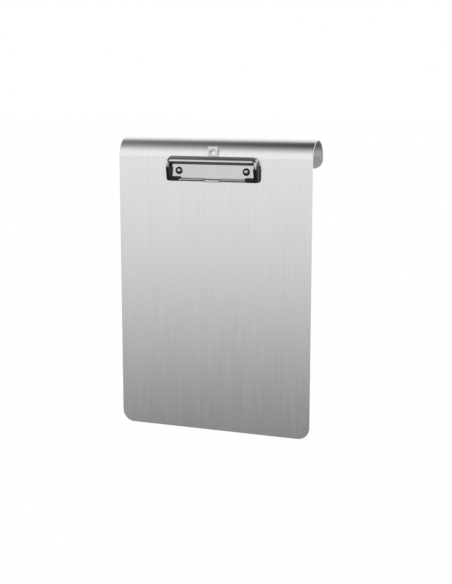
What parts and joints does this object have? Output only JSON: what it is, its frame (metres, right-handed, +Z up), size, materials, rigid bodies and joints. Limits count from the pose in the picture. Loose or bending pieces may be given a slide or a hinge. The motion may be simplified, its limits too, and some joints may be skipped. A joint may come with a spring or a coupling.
{
  "type": "hook-over clipboard",
  "caption": "Bent aluminium clipboard with a half-round top hook, a low spring clip with black corner caps and a pull-out hanging tab.",
  "frame": {"origin": "on the axis of the hook bend, halfway along it", "axes": "+X along the hook, +Y from the writing face towards the back, +Z up"},
  "size_m": [0.23, 0.0517, 0.3348],
  "materials": {
    "brushed_aluminium": "vertically brushed, satin",
    "nickel_plate": "bright nickel plating",
    "rivet_metal": "plated, bright",
    "spring_steel": "drawn wire",
    "soft_black": "moulded, semi-matt"
  },
  "bodies": {
    "board": {"board": "brushed_aluminium", "base_plate": "nickel_plate", "rivet_left": "rivet_metal", "rivet_right": "rivet_metal", "rivet_washer_left": "rivet_metal", "rivet_washer_right": "rivet_metal", "pivot_rod": "rivet_metal", "torsion_spring_left": "spring_steel", "torsion_spring_right": "spring_steel"},
    "bail": {"clamp_bail": "nickel_plate", "corner_cap_left": "soft_black", "corner_cap_right": "soft_black"},
    "hanger": {"hanger_tab": "nickel_plate"}
  },
  "joints": [
    {"name": "bail_pivot", "type": "hinge", "parent": "board", "child": "bail", "pos_m": [0, -0.0272, -0.0034], "axis": [-1, 0, 0], "range_deg": [0, 80], "stiffness_Nm_per_rad": 0.1, "springref_deg": -114.59, "deforming": ["torsion_spring_left", "torsion_spring_right"]},
    {"name": "hanger_slide", "type": "slide", "parent": "board", "child": "hanger", "axis": [0, 0, 1], "range_m": [-0.0104, 0]}
  ]
}
